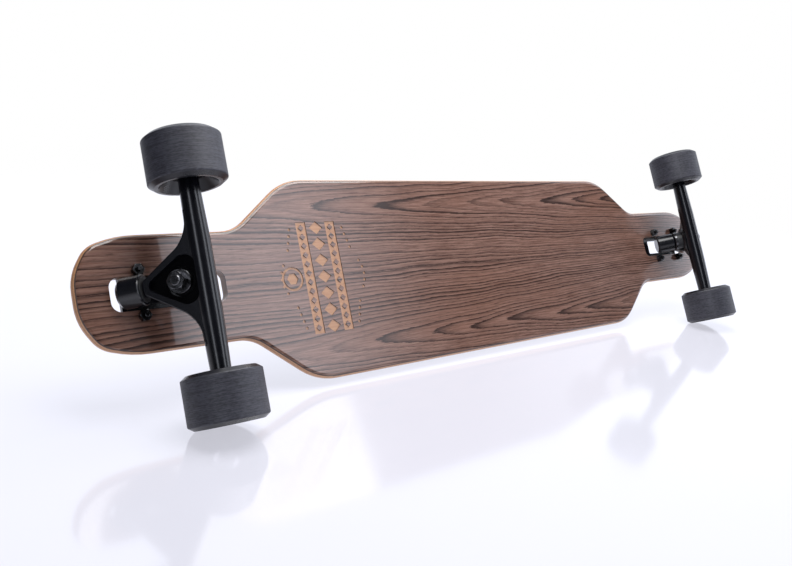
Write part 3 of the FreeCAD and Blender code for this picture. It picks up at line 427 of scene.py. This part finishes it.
def floor_paint():
    """A pale glossy sheet that glows, so that shadows on it stay faint. Nothing shows of it from below."""
    paint = Paint("floor")
    haze = paint.noise(paint.place, scale=3.0, detail=3.0)
    grain = paint.noise(paint.place, scale=700.0, detail=2.0)
    tone = paint.mix(haze, *FLOOR_TONES)
    paint.set(Base_Color=tone, Roughness=0.10, Normal=paint.bump(grain, 0.00001, 0.03), IOR=1.8,
              Specular_IOR_Level=0.8, Emission_Color=FLOOR_GLOW, Emission_Strength=FLOOR_GLOW_LEVEL)
    clear = paint.add("ShaderNodeBsdfTransparent")
    chooser = paint.add("ShaderNodeMixShader")
    away = paint.vector_number("LENGTH", paint.place)
    from_below = paint.add("ShaderNodeNewGeometry").outputs["Backfacing"]
    faded = paint.math("MAXIMUM", paint.span(away, *FLOOR_FADE), from_below)
    paint.join(faded, chooser.inputs[0])
    paint.join(paint.surface.outputs[0], chooser.inputs[1])
    paint.join(clear.outputs[0], chooser.inputs[2])
    paint.join(chooser.outputs[0], paint.output.inputs["Surface"])
    return paint.material


def make_floor():
    """The floor under a board that leans on its side, so it is tilted in the board's own frame."""
    mesh = bpy.data.meshes.new("floor")
    corners = [(x * FLOOR_REACH, y * FLOOR_REACH, 0) for x, y in ((-1, -1), (1, -1), (1, 1), (-1, 1))]
    mesh.from_pydata(corners, [], [(0, 1, 2, 3)])
    floor = bpy.data.objects.new("floor", mesh)
    bpy.context.collection.objects.link(floor)
    mesh.materials.append(floor_paint())
    floor.rotation_mode = "QUATERNION"
    floor.rotation_quaternion = FLOOR_NORMAL.to_track_quat("Z", "Y")
    floor.location = FLOOR_NORMAL * FLOOR_HEIGHT


def facing(look, up):
    """The rotation that looks along one direction with another up."""
    back = -look.normalized()
    right = up.cross(back).normalized()
    level = back.cross(right)
    return Matrix((right, level, back)).transposed().to_quaternion()


def make_camera():
    data = bpy.data.cameras.new("camera")
    camera = bpy.data.objects.new("camera", data)
    bpy.context.collection.objects.link(camera)
    camera.location = CAMERA_AT
    camera.rotation_mode = "QUATERNION"
    camera.rotation_quaternion = facing(CAMERA_LOOK, CAMERA_UP)
    data.sensor_width = CAMERA_SENSOR
    data.lens = CAMERA_LENS
    data.shift_x, data.shift_y = CAMERA_SHIFT
    data.clip_start = 0.01
    bpy.context.scene.camera = camera


def make_lamp():
    """A large soft lamp square above the floor, which the camera doesn't see."""
    data = bpy.data.lights.new("overhead", "AREA")
    data.shape = "RECTANGLE"
    data.size, data.size_y = LAMP_SIZE
    data.energy = LAMP_POWER
    lamp = bpy.data.objects.new("overhead", data)
    bpy.context.collection.objects.link(lamp)
    at = FLOOR_NORMAL * LAMP_HEIGHT + LAMP_AIM
    lamp.location = at
    lamp.rotation_mode = "QUATERNION"
    lamp.rotation_quaternion = (LAMP_AIM - at).to_track_quat("-Z", "Y")
    lamp.visible_camera = False


def make_world():
    """White ahead of the camera and a dim room elsewhere, lit by soft strips. The camera sees only white."""
    world = bpy.data.worlds.new("studio")
    bpy.context.scene.world = world
    world.use_nodes = True
    sky = Nodes(world.node_tree)
    background = sky.tree.nodes["Background"]
    way = sky.add("ShaderNodeTexCoord").outputs["Generated"]
    x, y, z = sky.parts(way)
    ahead = sky.vector_number("DOT_PRODUCT", way, CAMERA_LOOK)
    level = sky.span(ahead, 0.30, 0.60, ROOM_LEVEL, 1.0)
    below = sky.math("MULTIPLY", z, -1.0)
    turn = sky.math("ARCTAN2", sky.math("MULTIPLY", x, -1.0), below)
    upright = sky.span(sky.math("ABSOLUTE", sky.math("SUBTRACT", y, 0.12)), 0.30, 0.50, 1.0, 0.0)
    for start, start_soft, stop, stop_soft, strength in STRIPS:
        rise = sky.span(turn, math.radians(start), math.radians(start + start_soft))
        fall = sky.span(turn, math.radians(stop), math.radians(stop + stop_soft), 1.0, 0.0)
        strip = sky.math("MULTIPLY", sky.math("MULTIPLY", rise, fall), upright)
        level = sky.math("MULTIPLY_ADD", strip, strength, level)
    seen = sky.add("ShaderNodeLightPath").outputs["Is Camera Ray"]
    level = sky.mix_value(seen, level, 1.0)
    sky.join(sky.mix(seen, ROOM_TINT, WHITE), background.inputs["Color"])
    sky.join(level, background.inputs["Strength"])


# ---------------------------------------------------------------- assembly


def paint_everything():
    """Makes each material and gives it to its nodes."""
    steel = plated_steel("steel", (0.075, 0.075, 0.080), (0.13, 0.13, 0.135), 0.16, 0.28)
    dark_steel = plated_steel("black_steel", (0.030, 0.030, 0.032), (0.055, 0.055, 0.057), 0.20, 0.32)
    bright = plated_steel("bearing_steel", (0.66, 0.66, 0.68), (0.78, 0.78, 0.80), 0.08, 0.16)
    rubber = soft_rubber()
    cup = moulded_plastic("cup_plastic", (0.012, 0.012, 0.013), (0.024, 0.024, 0.025), 0.5)
    core = moulded_plastic("core_plastic", (0.010, 0.010, 0.011), (0.020, 0.020, 0.022), 0.25)
    cage = moulded_plastic("cage_plastic", (0.17, 0.08, 0.03), (0.24, 0.12, 0.05), 0.4)
    paint_nodes(stained_veneer(), "bottom_veneer")
    paint_nodes(ply_core(), "deck_core")
    paint_nodes(grip_sheet(), "grip_tape")
    for end in ENDS:
        inner, outer = middle(f"{end}_boardside_cup_washer"), middle(f"{end}_roadside_cup_washer")
        outward = (outer - inner).normalized()
        black = black_casting(f"black_casting_{end}", outer - outward * POCKET_TO_WASHER, outward)
        paint_nodes(black, f"{end}_baseplate", f"{end}_hanger")
        paint_nodes(steel, f"{end}_kingpin", f"{end}_kingpin_nut", f"{end}_boardside_cup_washer",
                    f"{end}_roadside_cup_washer", f"{end}_axle", f"{end}_axle_nuts", f"{end}_speed_washers",
                    f"{end}_bearing_spacers")
        paint_nodes(dark_steel, f"{end}_mounting_bolts", f"{end}_mounting_nuts")
        paint_nodes(rubber, f"{end}_boardside_bushing", f"{end}_roadside_bushing")
        paint_nodes(cup, f"{end}_pivot_cup")
        paint_nodes(bright, f"{end}_bearing_inner_rings")
    for wheel in WHEELS:
        paint_nodes(urethane(f"urethane_{wheel}", middle(f"{wheel}_tyre")), f"{wheel}_tyre")
        paint_nodes(core, f"{wheel}_core")
        paint_nodes(bright, f"{wheel}_bearing_outer_rings", f"{wheel}_bearing_shields",
                    f"{wheel}_bearing_balls")
        paint_nodes(cage, f"{wheel}_bearing_cages")


paint_everything()
make_floor()
make_world()
make_lamp()
make_camera()
bpy.context.scene.view_settings.view_transform = "Standard"
